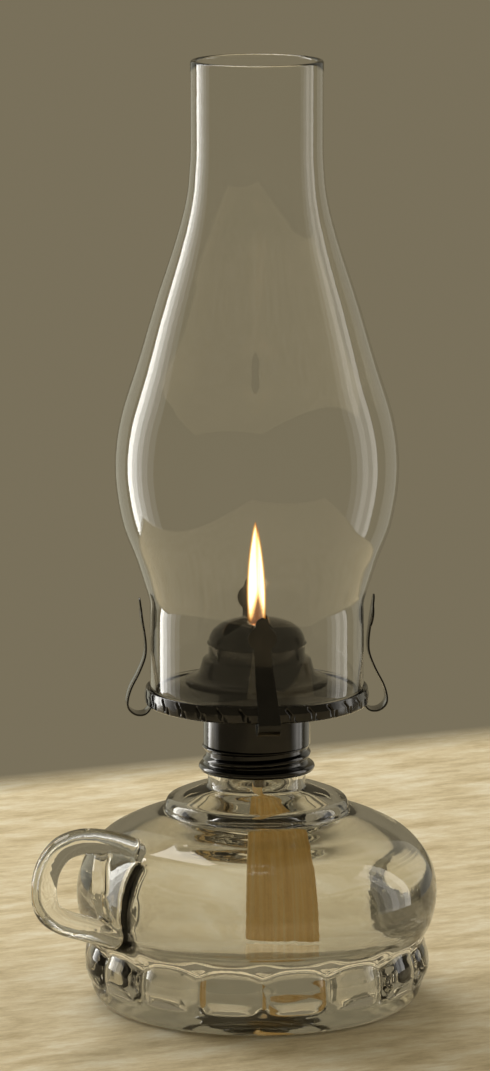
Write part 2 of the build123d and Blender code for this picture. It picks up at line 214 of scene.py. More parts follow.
def tube(name, path, radius, sides=14, closed=False):
    """A round bar along a path of points, with its ends closed."""
    path = np.array(path, float)
    along = np.roll(path, -1, 0) - np.roll(path, 1, 0) if closed else np.gradient(path, axis=0)
    along /= np.linalg.norm(along, axis=1)[:, None]
    side = np.cross(along, (0.0131, 0.0172, 1.0))
    side /= np.linalg.norm(side, axis=1)[:, None]
    up = np.cross(side, along)
    turn = np.arange(sides) * TURN / sides
    spokes = side[:, None] * np.cos(turn)[:, None] + up[:, None] * np.sin(turn)[:, None]
    rings = path[:, None] + radius * spokes
    faces = list(grid_faces(len(path), sides, wrap_rows=closed))
    if not closed:
        last = (len(path) - 1) * sides
        faces += [list(range(sides))[::-1], list(range(last, last + sides))]
    return add_mesh(name, rings.reshape(-1, 3), faces)


def prism(name, plan, low, high):
    """A straight-sided solid on a plan of (x, y) points."""
    n = len(plan)
    points = [(x, y, low) for x, y in plan] + [(x, y, high) for x, y in plan]
    sides = [(i, (i + 1) % n, n + (i + 1) % n, n + i) for i in range(n)]
    return add_mesh(name, points, sides + [tuple(range(n))[::-1], tuple(range(n, 2 * n))], smooth=False)


def applied(obj, *modifiers):
    """Runs modifiers, given as (kind, settings), and keeps their result as the mesh."""
    for kind, settings in modifiers:
        modifier = obj.modifiers.new(kind.lower(), kind)
        for key, value in settings.items():
            setattr(modifier, key, value)
    seen = obj.evaluated_get(bpy.context.evaluated_depsgraph_get())
    mesh = bpy.data.meshes.new_from_object(seen)
    obj.modifiers.clear()
    obj.data = mesh
    mesh.polygons.foreach_set("use_smooth", [True] * len(mesh.polygons))
    return obj


def joined(name, objects):
    """Several meshes as one object."""
    work = bmesh.new()
    for obj in objects:
        work.from_mesh(obj.data)
        bpy.data.objects.remove(obj)
    mesh = bpy.data.meshes.new(name)
    work.to_mesh(mesh)
    work.free()
    mesh.polygons.foreach_set("use_smooth", [True] * len(mesh.polygons))
    obj = bpy.data.objects.new(name, mesh)
    bpy.context.scene.collection.objects.link(obj)
    return obj


def cut(obj, *cutters):
    """Takes the cutters out of a solid."""
    for cutter in cutters:
        applied(obj, ("BOOLEAN", {"operation": "DIFFERENCE", "solver": "EXACT", "object": cutter}))
        bpy.data.objects.remove(cutter)
    return obj


# ================= materials =================


def node_material(name):
    """An empty node material with its principled shader and object coordinates."""
    material = bpy.data.materials.new(name)
    material.use_nodes = True
    tree = material.node_tree
    shader = tree.nodes["Principled BSDF"]
    place = tree.nodes.new("ShaderNodeTexCoord").outputs["Object"]
    return material, tree, shader, place


def noise(tree, place, scale, detail=3.0, rough=0.5):
    node = tree.nodes.new("ShaderNodeTexNoise")
    node.inputs["Scale"].default_value = scale
    node.inputs["Detail"].default_value = detail
    node.inputs["Roughness"].default_value = rough
    tree.links.new(place, node.inputs["Vector"])
    return node.outputs["Fac"]


def ramp(tree, value, stops):
    """A colour ramp from (place, colour) stops."""
    node = tree.nodes.new("ShaderNodeValToRGB")
    bar = node.color_ramp
    while len(bar.elements) < len(stops):
        bar.elements.new(0.5)
    for element, (where, colour) in zip(bar.elements, stops):
        element.position = where
        element.color = (*colour, 1.0) if len(colour) == 3 else colour
    tree.links.new(value, node.inputs["Fac"])
    return node.outputs["Color"]


def spread(tree, value, low, high, start=0.0, end=1.0):
    """A value mapped from start..end to low..high."""
    node = tree.nodes.new("ShaderNodeMapRange")
    for key, number in (("From Min", start), ("From Max", end), ("To Min", low), ("To Max", high)):
        node.inputs[key].default_value = number
    tree.links.new(value, node.inputs["Value"])
    return node.outputs["Result"]


def bump(tree, shader, value, strength, distance):
    node = tree.nodes.new("ShaderNodeBump")
    node.inputs["Strength"].default_value = strength
    node.inputs["Distance"].default_value = distance
    tree.links.new(value, node.inputs["Height"])
    tree.links.new(node.outputs["Normal"], shader.inputs["Normal"])


def height_of(tree, place, axis="Z"):
    node = tree.nodes.new("ShaderNodeSeparateXYZ")
    tree.links.new(place, node.inputs[0])
    return node.outputs[axis]


def metal(name, dark, light, rough, grain=260.0, dent=0.10):
    """Plated or drawn metal: a patchy tone, uneven polish and a faint grain."""
    material, tree, shader, place = node_material(name)
    shader.inputs["Metallic"].default_value = 1.0
    shader.inputs["Coat Weight"].default_value = 0.6
    shader.inputs["Coat Roughness"].default_value = 0.12
    tone = ramp(tree, noise(tree, place, 90.0), ((0.3, dark), (0.75, light)))
    tree.links.new(tone, shader.inputs["Base Color"])
    tree.links.new(spread(tree, noise(tree, place, grain), *rough), shader.inputs["Roughness"])
    bump(tree, shader, noise(tree, place, grain * 2), dent, 0.1 * MM)
    return material


def clear(name, tint, ior, ripple_scale, ripple, roughness=0.0):
    """Clear glass or oil, with a slow ripple in its surface and the faintest drift of tint."""
    material, tree, shader, place = node_material(name)
    shader.inputs["Transmission Weight"].default_value = 1.0
    shader.inputs["Roughness"].default_value = roughness
    shader.inputs["IOR"].default_value = ior
    paler = tuple(min(1.0, c * 1.02) for c in tint)
    drift = ramp(tree, noise(tree, place, 30.0), ((0.3, tint), (0.7, paler)))
    tree.links.new(drift, shader.inputs["Base Color"])
    bump(tree, shader, noise(tree, place, ripple_scale, 1.5), ripple, 1.0 * MM)
    return material


def cotton():
    """Woven wick: cream and golden streaks, a weave in relief, char at the burning edge, an ember glow there,
    and a faint even painted glow over the rest of the cloth.
    """
    material, tree, shader, place = node_material("wick_cotton")
    stretch = tree.nodes.new("ShaderNodeMapping")
    stretch.inputs["Scale"].default_value = (1.0, 1.0, 0.08)
    tree.links.new(place, stretch.inputs["Vector"])
    streaks = noise(tree, stretch.outputs["Vector"], 700.0, 4.0)
    golds = ((0.30, (0.66, 0.38, 0.10)), (0.50, (0.88, 0.60, 0.22)), (0.72, (0.97, 0.86, 0.58)))
    cloth = ramp(tree, streaks, golds)
    char = spread(tree, height_of(tree, place), 0.0, 1.0, wick_top - 4.5 * MM, wick_top - 1.0 * MM)
    mix = tree.nodes.new("ShaderNodeMix")
    mix.data_type = "RGBA"
    tree.links.new(char, mix.inputs["Factor"])
    tree.links.new(cloth, mix.inputs["A"])
    mix.inputs["B"].default_value = (0.035, 0.018, 0.010, 1.0)
    tree.links.new(mix.outputs["Result"], shader.inputs["Base Color"])
    shader.inputs["Roughness"].default_value = 0.85
    shader.inputs["Sheen Weight"].default_value = 0.3
    # Emission: an orange ember glow at the burning edge, and below it a faint even painted glow over all the
    # cloth, standing in for the flame's light reaching the wick.
    ember = spread(tree, height_of(tree, place), 0.0, 1.0, wick_top - 3.0 * MM, wick_top - 0.5 * MM)
    glow = ramp(tree, ember, ((0.0, (0.13, 0.075, 0.02)), (1.0, (1.0, 0.30, 0.06))))
    tree.links.new(glow, shader.inputs["Emission Color"])
    shader.inputs["Emission Strength"].default_value = 0.9
    bump(tree, shader, noise(tree, place, 2600.0, 2.0), 0.5, 0.2 * MM)
    return material


def plaster():
    material, tree, shader, place = node_material("plaster")
    tone = ramp(tree, noise(tree, place, 400.0, 5.0), ((0.3, (0.60, 0.57, 0.49)), (0.7, (0.80, 0.77, 0.68))))
    tree.links.new(tone, shader.inputs["Base Color"])
    shader.inputs["Roughness"].default_value = 0.9
    bump(tree, shader, noise(tree, place, 1500.0, 4.0), 0.4, 0.2 * MM)
    return material


def table_top():
    """Pale stone with a soft far edge."""
    material, tree, shader, place = node_material("table_top")
    stretch = tree.nodes.new("ShaderNodeMapping")
    stretch.inputs["Scale"].default_value = (1.0, 2.6, 1.0)
    tree.links.new(place, stretch.inputs["Vector"])
    stain = noise(tree, stretch.outputs["Vector"], 26.0, 10.0, 0.74)
    stones = ((0.34, (0.56, 0.45, 0.26)), (0.50, (0.78, 0.665, 0.44)), (0.64, (0.92, 0.85, 0.66)))
    tone = ramp(tree, stain, stones)
    tree.links.new(tone, shader.inputs["Base Color"])
    tree.links.new(spread(tree, stain, 0.55, 0.75), shader.inputs["Roughness"])
    shader.inputs["Specular IOR Level"].default_value = 0.12
    bump(tree, shader, stain, 0.25, 1.0 * MM)
    edge = spread(tree, height_of(tree, place, "Y"), 1.0, 0.0, -table_edge_soft, table_edge_soft)
    tree.links.new(edge, shader.inputs["Alpha"])
    return material


# ================= glass =================


def chimney_glass(material):
    """The blown chimney: straight foot, sharp crease, pear-shaped belly, straight throat, polished ends."""
    wall = 1.9 * MM
    drop = belly_radius - throat_radius
    swell = belly_radius - foot_radius
    bulb = smooth_line(
        [
            (foot_radius, seat + 32.0 * MM),
            (foot_radius + 0.375 * swell, seat + 46.3 * MM),
            (belly_radius - 2.4 * MM, seat + 61.0 * MM),
            (belly_radius, seat + 79.0 * MM),
            (belly_radius - 1.9 * MM, seat + 97.0 * MM),
            (throat_radius + 0.69 * drop, seat + 118.0 * MM),
            (throat_radius + 0.452 * drop, seat + 139.5 * MM),
            (throat_radius + 0.191 * drop, seat + 161.0 * MM),
            (throat_radius + 0.05 * drop, seat + 176.0 * MM),
            (throat_radius, seat + 190.0 * MM),
        ],
        10,
    )
    foot = np.stack([np.full(12, foot_radius), np.linspace(seat + wall / 2, seat + 31.2 * MM, 12)], 1)
    throat = np.stack([np.full(10, throat_radius), np.linspace(seat + 192 * MM, glass_top - wall / 2, 10)], 1)
    outer = np.vstack([foot, bulb[1:-1], throat])
    inner = beside(outer, wall)
    turn = np.linspace(0, pi, 9)[1:-1]
    half = wall / 2
    top = [(throat_radius - half + half * cos(a), glass_top - half + half * sin(a)) for a in turn]
    low = [(foot_radius - half - half * cos(a), seat + half - half * sin(a)) for a in turn]
    glass = lathe("chimney_glass", np.vstack([outer, top, inner[::-1], low]), 224)
    glass.data.materials.append(material)
    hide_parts("chimney_foot", "chimney_belly", "chimney_shoulder", "chimney_throat")
    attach(glass, "glass")


def cavity_line():
    """The bowl's inside from the middle of its floor up into the neck."""
    inside = bowl_radius - bowl_wall
    return smooth_line(
        [
            (0.0, bowl_floor),
            (20.0 * MM, bowl_floor),
            (38.0 * MM, bowl_floor),
            (52.0 * MM, 29.2 * MM),
            (59.0 * MM, 34.5 * MM),
            (inside, 41.5 * MM),
            (inside - 2.3 * MM, 49.5 * MM),
            (51.6 * MM, 56.6 * MM),
            (43.0 * MM, 61.4 * MM),
            (33.0 * MM, 64.8 * MM),
            (24.0 * MM, 69.5 * MM),
            (16.5 * MM, 74.8 * MM),
            (neck_bore, 79.5 * MM),
            (neck_bore, neck_top),
        ],
        7,
    )


def foot_lobes(radius, height, angle):
    """Sixteen pillowed lobes round the foot, with rounded tops, and grooves between them."""
    across = (angle - lobe_first_angle + pi / lobe_count) % (TURN / lobe_count) - pi / lobe_count
    across = across / (pi / lobe_count)
    middle = (waist_height + ledge_height) / 2
    half = (waist_height - ledge_height) / 2 + 1.2 * MM
    upright = np.clip(1 - np.abs((height - middle) / half) ** 4, 0, 1)
    groove = np.abs(across) ** 3.2
    outside = radius > bowl_radius - 9 * MM
    crest = np.clip(1 - np.abs(height - waist_height + 0.5 * MM) / (5 * MM), 0, 1)
    arched = height - np.where(outside, crest * lobe_arch * (across**2 - 0.3), 0.0)
    return radius + np.where(outside, upright * lobe_depth * (0.20 - groove), 0.0), arched


def font_body():
    """The foot, bowl, ring and neck with the oil space, as a turned and lobed solid."""
    foot = smooth_line(
        [
            (49.5 * MM, 0.5 * MM),
            (54.0 * MM, 0.15 * MM),
            (57.6 * MM, 2.8 * MM),
            (59.2 * MM, 6.5 * MM),
            (59.5 * MM, 8.6 * MM),
            (60.3 * MM, 10.2 * MM),
            (61.3 * MM, 14.0 * MM),
            (61.0 * MM, 18.5 * MM),
            (59.9 * MM, 22.0 * MM),
        ],
        6,
    )
    bowl = smooth_line(
        [
            (59.6 * MM, waist_height),
            (bowl_radius - 1.5 * MM, 31.0 * MM),
            (bowl_radius - 0.15 * MM, 41.0 * MM),
            (bowl_radius - 2.5 * MM, 51.0 * MM),
            (55.2 * MM, 59.8 * MM),
            (46.0 * MM, 65.2 * MM),
            (38.0 * MM, 68.1 * MM),
            (32.2 * MM, 69.5 * MM),
        ],
        9,
    )
    ring = smooth_line(
        [
            (32.9 * MM, 71.0 * MM),
            (31.9 * MM, 73.6 * MM),
            (29.3 * MM, 75.1 * MM),
            (24.0 * MM, 77.0 * MM),
            (18.2 * MM, 78.2 * MM),
            (neck_radius, 79.6 * MM),
            (neck_radius, neck_top),
        ],
        6,
    )
    under = smooth_line(
        [
            (0.0, foot_hollow),
            (22.0 * MM, foot_hollow - 0.6 * MM),
            (38.0 * MM, foot_hollow - 3.6 * MM),
            (46.0 * MM, 3.4 * MM),
        ],
        6,
    )
    outline = np.vstack([under, foot, bowl, ring, cavity_line()[::-1]])
    return lathe("body", outline, 384, foot_lobes)


def in_handle_plane(points):
    """Points (distance out, height) set in the upright plane of the handle."""
    return [(u * cos(handle_angle), u * sin(handle_angle), z) for u, z in points]


def handle_loop():
    """The finger loop: a thick round bar, with a web that fills its upper root."""
    line = smooth_line(
        [
            (57.0, 62.6),
            (66.0, 66.4),
            (75.0, 69.2),
            (84.0, 70.5),
            (92.5, 69.2),
            (98.6, 63.8),
            (100.8, 56.0),
            (99.2, 48.6),
            (92.5, 43.4),
            (81.0, 38.8),
            (70.0, 34.4),
            (60.6, 30.6),
        ],
        7,
    )
    bar = tube("bar", in_handle_plane(line * MM), handle_section, 28)
    corners = [(58.5, 60.0), (66.0, 68.0), (72.5, 67.7), (75.5, 62.2)]
    corners += [(76.0, 47.5), (72.0, 38.5), (64.0, 31.5), (60.7, 33)]
    outline = rounded_line([(u * MM, z * MM) for u, z in corners], 3 * MM)
    near = in_handle_plane(outline)
    side = Vector((-sin(handle_angle), cos(handle_angle), 0)) * web_half
    n = len(near)
    points = [Vector(p) - side for p in near] + [Vector(p) + side for p in near]
    sides = [(i, (i + 1) % n, n + (i + 1) % n, n + i) for i in range(n)]
    web = add_mesh("web", points, sides + [tuple(range(n))[::-1], tuple(range(n, 2 * n))])
    return bar, web


def away_from_handle(obj):
    """A vertex group that is full on the turned body and fades out round the handle's roots."""
    co = np.empty(len(obj.data.vertices) * 3)
    obj.data.vertices.foreach_get("co", co)
    co = co.reshape(-1, 3)
    out = co[:, 0] * cos(handle_angle) + co[:, 1] * sin(handle_angle)
    across = np.abs(-co[:, 0] * sin(handle_angle) + co[:, 1] * cos(handle_angle))
    fade = np.maximum(np.clip((across - 7 * MM) / (4 * MM), 0, 1), np.clip((54 * MM - out) / (4 * MM), 0, 1))
    inner = np.hypot(co[:, 0], co[:, 1]) < bowl_radius - 12 * MM
    low = co[:, 2] < 24 * MM
    fade = np.where(inner | low, 1.0, fade)
    group = obj.vertex_groups.new(name="turned")
    for level in range(1, 11):
        found = np.nonzero(np.round(fade * 10) == level)[0]
        group.add(found.tolist(), level / 10, "REPLACE")


def font_glass(material):
    """The pressed font in one piece: body and handle melted together, then drawn back to the turned form."""
    body = font_body()
    true_form = body.copy()
    bpy.context.scene.collection.objects.link(true_form)
    true_form.data = body.data.copy()
    font = joined("font_glass", [body, *handle_loop()])
    applied(font, ("REMESH", {"mode": "VOXEL", "voxel_size": voxel}))
    applied(font, ("SMOOTH", {"factor": 0.5, "iterations": 9}))
    away_from_handle(font)
    applied(font, ("SHRINKWRAP", {"target": true_form, "vertex_group": "turned"}))
    bpy.data.objects.remove(true_form)
    font.data.materials.clear()
    font.data.materials.append(material)
    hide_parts("font")
    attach(font, "font_base")


def oil_fill(material):
    """The oil: it fills the bowl to its level, a hair into the glass so that no air shows between them."""
    line = cavity_line()
    line = line[line[:, 1] < oil_level]
    wall = line + oil_overlap * np.stack([np.minimum(1, line[:, 0] / (40 * MM)), -np.ones(len(line))], 1)
    wall[0, 0] = 0.0
    edge = np.interp(oil_level, cavity_line()[30:, 1], cavity_line()[30:, 0]) + oil_overlap
    top = [(edge, oil_level), (edge - 1.2 * MM, oil_level - 0.35 * MM), (edge - 4 * MM, oil_level - 0.5 * MM)]
    oil = lathe("oil", np.vstack([wall, top, [(0.0, oil_level - 0.5 * MM)]]), 192)
    oil.data.materials.append(material)
    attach(oil, "font_base")


# ================= burner =================


def collar_ring(material):
    """The rolled collar: a winding thread, a flange bead and a turned-over top edge."""
    inner = collar_radius - 0.65 * MM
    bead = 1.35 * MM
    bead_height = neck_top - 0.6 * MM
    flange = [
        (flange_radius - bead + bead * cos(a), bead_height + bead * sin(a))
        for a in np.linspace(-0.75 * pi, 0.45 * pi, 14)
    ]
    wall = [(collar_radius, z) for z in np.linspace(neck_top + 1.3 * MM, collar_top - 0.9 * MM, 72)]
    lip = [
        (collar_radius - 0.1 * MM + 0.5 * MM * cos(a), collar_top - 0.5 * MM + 0.5 * MM * sin(a))
        for a in np.linspace(-0.3 * pi, pi, 9)
    ]
    skirt = 18.2 * MM
    inside = [(inner, collar_top - 1 * MM), (inner, neck_top + 1 * MM)]
    inside += [(skirt, neck_top + 0.6 * MM), (skirt, collar_low + 0.4 * MM)]

    def wound(radius, height, angle):
        turns = (height - thread_start) / thread_pitch - (angle - pi) / TURN
        off = np.abs((turns + 0.5) % 1 - 0.5) * thread_pitch
        ridge = np.cos(np.clip(off / (1.7 * MM), 0, 1) * pi / 2) ** 1.2
        ends = np.clip((height - neck_top - 1.2 * MM) / MM, 0, 1)
        ends = ends * np.clip((collar_top + 0.2 * MM - height) / MM, 0, 1)
        outer = radius > collar_radius - 0.05 * MM
        return radius + np.where(outer, ends * (ridge * thread_depth - thread_valley), 0.0), height

    ring = lathe("collar_ring", np.vstack([flange, wall, lip, inside]), 256, wound)
    dress(ring, material, "font_base", "gunmetal", "collar")


def dress(obj, material, body, slot, *nodes):
    """Gives a piece its material, CAD nodes that it stands for, and body. The slot argument is not used."""
    obj.data.materials.clear()
    obj.data.materials.append(material)
    if nodes:
        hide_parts(*nodes)
    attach(obj, body)


def gallery_dish(material):
    """The dish that carries the chimney: drum collar, plateau, slope, seat and the lip round the glass."""
    inside = shell_radius - 1.5 * sheet
    top = seat + 3.0 * MM - sheet / 2
    line = rounded_line(
        [
            (inside, seat - 6 * MM),
            (inside, top),
            (25.2 * MM, top),
            (35.2 * MM, seat - 0.35 * MM),
            (foot_radius + 0.55 * MM, seat - 0.35 * MM),
            (foot_radius + 0.9 * MM, seat + 0.55 * MM),
        ],
        1.6 * MM,
    )
    dish = lathe("gallery_dish", as_sheet(line), 240)
    holes = []
    for radius, first in ((shell_radius + 2.1 * MM, 0.0), (shell_radius + 4.5 * MM, 6.0)):
        for i in range(30):
            a = radians(first + 12 * i)
            plan = [
                (radius * cos(a) + 0.75 * MM * cos(t), radius * sin(a) + 0.75 * MM * sin(t))
                for t in np.linspace(0, TURN, 12, endpoint=False)
            ]
            holes.append(prism("hole", plan, seat, seat + 6 * MM))
    cut(dish, joined("holes", holes))
    dress(dish, material, "burner", "gunmetal", "gallery")


def gallery_rim(material):
    """The folded rim: thirty crimped tabs with slanting gaps, each tab's end curling out."""
    line = rounded_line(
        [
            (foot_radius + 0.9 * MM, seat + 0.45 * MM),
            (foot_radius + 1.2 * MM, seat + 0.62 * MM),
            (rim_radius - 0.5 * MM, seat - 0.8 * MM),
            (rim_radius - 0.30 * MM, seat - 1.6 * MM),
            (rim_radius - 0.45 * MM, rim_bottom + 1.5 * MM),
            (rim_radius - 1.3 * MM, rim_bottom + 1.0 * MM),
            (rim_radius - 2.0 * MM, rim_bottom + 1.5 * MM),
        ],
        0.7 * MM,
        7,
    )

    def crimped(radius, height, angle):
        tab = TURN / rim_segments
        slant = (height - seat + 2 * MM) / rim_radius * 0.9
        along = ((angle + slant - radians(6.0)) % tab) / tab
        gap = np.exp(-((np.minimum(along, 1 - along) / 0.055) ** 2))
        curl = np.clip((along - 0.72) / 0.28, 0, 1) ** 2 * (1 - gap)
        low, high = rim_bottom + 1.3 * MM, seat + 0.1 * MM
        band = np.clip((height - low) / (0.5 * MM), 0, 1) * np.clip((high - height) / (0.5 * MM), 0, 1)
        band = band * (radius > foot_radius + 1.0 * MM)
        return radius + band * (0.28 * MM * curl - 0.75 * MM * gap), height

    rim = lathe("gallery_rim", as_sheet(line, 0.5 * MM), 1080, crimped)
    dress(rim, material, "burner", "gunmetal")


def cone(material):
    """The draught cone: slotted dome, beaded band, stepped shoulder and flared skirt, with a slot and two
    side openings cut through.
    """
    radius, rise = 17.2 * MM, 10.1 * MM
    top = dome_top + dome_lift
    base = top - rise
    dome = [(radius * sin(a), base + rise * cos(a)) for a in np.linspace(0, pi / 2, 26)]
    bead = [
        (radius + 0.1 * MM + 0.45 * MM * cos(a), base - 0.3 * MM + 0.45 * MM * sin(a))
        for a in np.linspace(0.5 * pi, -0.5 * pi, 9)
    ]
    band = [(radius, base - 1.0 * MM), (radius, seat + 12.0 * MM)]
    shoulder = rounded_line(
        [
            (radius, seat + 11.8 * MM),
            (19.3 * MM, seat + 11.2 * MM),
            (19.9 * MM, seat + 8.6 * MM),
            (20.9 * MM, seat + 6.0 * MM),
            (22.7 * MM, seat + 4.6 * MM),
            (cone_radius, cone_bottom + sheet),
        ],
        1.1 * MM,
    )
    outer = np.vstack([dome, bead, band, shoulder])
    inner = beside(outer, -sheet)
    inner[0] = (0.0, top - sheet)
    inner[:, 0] = np.maximum(inner[:, 0], 0.0)
    shell = lathe("draught_cone", np.vstack([outer, inner[::-1]]), 240)
    slot_half, slot_long = 3.7 * MM, 10.75 * MM - 3.7 * MM
    slot = [
        (slot_half * cos(a), slot_long * (1 if sin(a) >= 0 else -1) + slot_half * sin(a))
        for a in np.linspace(0, TURN, 49)[:-1]
    ]
    openings = [slot]
    for lean in (radians(218.0), radians(38.0)):
        oval = []
        for a in np.linspace(0, TURN, 48, endpoint=False):
            out, aside = 10.3 * MM + 5.4 * MM * cos(a), 3.3 * MM * sin(a)
            oval.append((out * cos(lean) - aside * sin(lean), out * sin(lean) + aside * cos(lean)))
        openings.append(oval)
    for plan in openings:
        cut(shell, prism("opening", plan, base + 0.6 * MM, top + 4 * MM))
    dress(shell, material, "cone", "gunmetal", "deflector")


def bent_prong(angle, name, lean, material):
    """A spring prong: hooked under the rim, bowed in towards the glass, with a round-shouldered head."""
    near = foot_radius + 1.5 * MM
    loop = rim_radius + 6.1 * MM
    path = smooth_line(
        [
            (rim_radius - 7.4 * MM, seat - 1.55 * MM),
            (rim_radius - 4.2 * MM, seat - 1.75 * MM),
            (rim_radius - 2.7 * MM, seat - 3.3 * MM),
            (rim_radius - 1.7 * MM, seat - 6.4 * MM),
            (rim_radius + 0.3 * MM, seat - 8.15 * MM),
            (rim_radius + 3.2 * MM, seat - 8.1 * MM),
            (loop - 0.5 * MM, seat - 6.2 * MM),
            (loop, seat - 3.4 * MM),
            (loop - 1.2 * MM, seat + 1.2 * MM),
            (near + 2.3 * MM, seat + 7.2 * MM),
            (near + 0.3 * MM, seat + 12.5 * MM),
            (near, seat + 17.0 * MM),
            (near + 0.7 * MM, seat + 23.0 * MM),
            (near + 2.2 * MM, seat + 33.4 * MM),
        ],
        prong_steps,
    )
    rise = (path[:, 1] - seat) / MM
    upper = np.arange(len(path)) > 7 * prong_steps
    strip = 4.0 - np.clip((rise + 4) / 24, 0, 1)
    head = 5.1 * np.sqrt(np.clip(1 - ((rise - 25.8) / 4.6) ** 2, 0, 1))
    tip = 2.5 * np.sqrt(np.clip(1 - ((rise - 30.2) / 3.2) ** 2, 0, 1))
    neck = np.where(rise < 27, strip, 0)
    half = np.where(upper, np.maximum(np.maximum(head, tip), neck), 4.0) * MM
    half = np.maximum(half, 0.25 * MM)
    shift = -lean * np.clip((rise + 3) / 28, 0, 1)
    columns = np.linspace(-1, 1, prong_columns)
    points = []
    for (out, z), wide, aside in zip(path, half, shift):
        for c in columns:
            dish = 0.35 * MM * (c * wide / (5 * MM)) ** 2
            points.append((out + dish, c * wide + aside, z))
    points = np.array(points)
    turned = points.copy()
    turned[:, 0] = points[:, 0] * cos(angle) - points[:, 1] * sin(angle)
    turned[:, 1] = points[:, 0] * sin(angle) + points[:, 1] * cos(angle)
    faces = grid_faces(len(path), prong_columns, wrap_columns=False)
    prong = add_mesh("prong_" + name + "_spring_strip", turned, faces)
    thicken = ("SOLIDIFY", {"thickness": prong_sheet, "offset": 0.0})
    applied(prong, thicken, ("BEVEL", {"width": 0.12 * MM, "segments": 2}))
    dress(prong, material, "prong_" + name + "_spring", "gunmetal", "prong_" + name)


def wick_strap(material):
    """The woven wick: a flat strap with a weave in relief, a twisted tail and a ragged burnt top."""
    rows, around = 620, 132
    heights = np.linspace(wick_tail, wick_top - 0.1 * MM, rows)
    turn = np.clip((twist_high - heights) / (twist_high - twist_low), 0, 1)
    turn = wick_twist * turn * turn * (3 - 2 * turn)
    hang = np.clip((79.0 * MM - heights) / (19.0 * MM), 0, 1)
    hang = wick_drift * hang * hang * (3 - 2 * hang)
    flat = 2 * (wick_half_width - wick_half_thick)
    lap = 2 * flat + TURN * wick_half_thick
    run = np.arange(around) / around * lap
    rng = np.random.default_rng(7)
    ragged = rng.uniform(-0.5, 0.0, around) * MM
    points = np.empty((rows, around, 3))
    for k, s in enumerate(run):
        if s < flat:
            x, y, nx, ny = wick_half_thick, -flat / 2 + s, 1.0, 0.0
        elif s < flat + pi * wick_half_thick:
            a = (s - flat) / wick_half_thick
            x, y, nx, ny = wick_half_thick * cos(a), flat / 2 + wick_half_thick * sin(a), cos(a), sin(a)
        elif s < 2 * flat + pi * wick_half_thick:
            x, y, nx, ny = -wick_half_thick, flat / 2 - (s - flat - pi * wick_half_thick), -1.0, 0.0
        else:
            a = pi + (s - 2 * flat - pi * wick_half_thick) / wick_half_thick
            x, y, nx, ny = wick_half_thick * cos(a), -flat / 2 + wick_half_thick * sin(a), cos(a), sin(a)
        offbeat = pi if int(abs(y) / (1.3 * MM)) % 2 else 0
        rib = np.sin(y / (0.42 * MM)) * np.cos(heights / (0.36 * MM) + offbeat)
        relief = -0.06 * MM + 0.05 * MM * rib
        px, py = x + nx * relief, y + ny * relief
        points[:, k, 0] = px * np.cos(turn) - py * np.sin(turn) + hang
        points[:, k, 1] = px * np.sin(turn) + py * np.cos(turn)
        points[:, k, 2] = heights + ragged[k] * (heights > wick_top - 0.6 * MM)
    last = (rows - 1) * around
    ends = [list(range(around))[::-1], list(range(last, last + around))]
    strap = add_mesh("wick_strap_woven", points.reshape(-1, 3), list(grid_faces(rows, around)) + ends)
    strap.data.materials.append(material)
    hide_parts("wick")
    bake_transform(strap)


# ================= flame =================

flame_low = wick_top - 0.8 * MM
flame_tip = seat + 60.6 * MM
dark_cone = 0.40
flame_rows = 90
flame_sides = 48
flame_rise = (0, 0.05, 0.13, 0.24, 0.35, 0.46, 0.57, 0.68, 0.79, 0.90, 0.967, 1)
flame_thick = (2.6, 2.86, 3.2, 3.42, 3.45, 3.31, 3.04, 2.55, 1.95, 1.26, 0.56, 0.0)
flame_broad = (8.4, 9.0, 9.5, 9.8, 9.4, 8.4, 7.0, 5.3, 3.6, 2.0, 0.8, 0.0)


def fire(name, colour, strength, alpha):
    """Glowing gas: bright over and beside the dark cone that stands on the wick, and thin round its foot."""
    material, tree, shader, place = node_material(name)
    shader.inputs["Base Color"].default_value = (0.0, 0.0, 0.0, 1.0)
    shader.inputs["Specular IOR Level"].default_value = 0.0
    shader.inputs["Roughness"].default_value = 1.0
    shader.inputs["Emission Strength"].default_value = strength
    rise = spread(tree, height_of(tree, place), 0.0, 1.0, flame_low, flame_tip)
    out = tree.nodes.new("ShaderNodeMath")
    out.operation = "ABSOLUTE"
    tree.links.new(height_of(tree, place, "X"), out.inputs[0])
    aside = spread(tree, out.outputs[0], 0.0, 1.0, 0.0, 3.3 * MM)
    above = spread(tree, rise, 0.0, 1.0, 0.0, dark_cone)
    both = tree.nodes.new("ShaderNodeMath")
    tree.links.new(aside, both.inputs[0])
    tree.links.new(above, both.inputs[1])
    lit = spread(tree, both.outputs[0], 0.0, 1.0, 0.92, 1.30)
    dim = tuple(c * d for c, d in zip(colour, (0.16, 0.08, 0.05)))
    middle = (colour[0], colour[1] * 0.62, colour[2] * 0.3)
    shown = ramp(tree, lit, ((0.0, dim), (0.5, middle), (1.0, colour)))
    tree.links.new(shown, shader.inputs["Emission Color"])
    foot = ramp(tree, rise, ((0.0, (0.25,) * 3), (0.14, (0.75,) * 3), (0.40, (1.0,) * 3)))
    density = tree.nodes.new("ShaderNodeMath")
    density.operation = "MULTIPLY"
    tree.links.new(spread(tree, lit, alpha * 0.35, alpha), density.inputs[0])
    tree.links.new(foot, density.inputs[1])
    tree.links.new(density.outputs[0], shader.inputs["Alpha"])
    return material


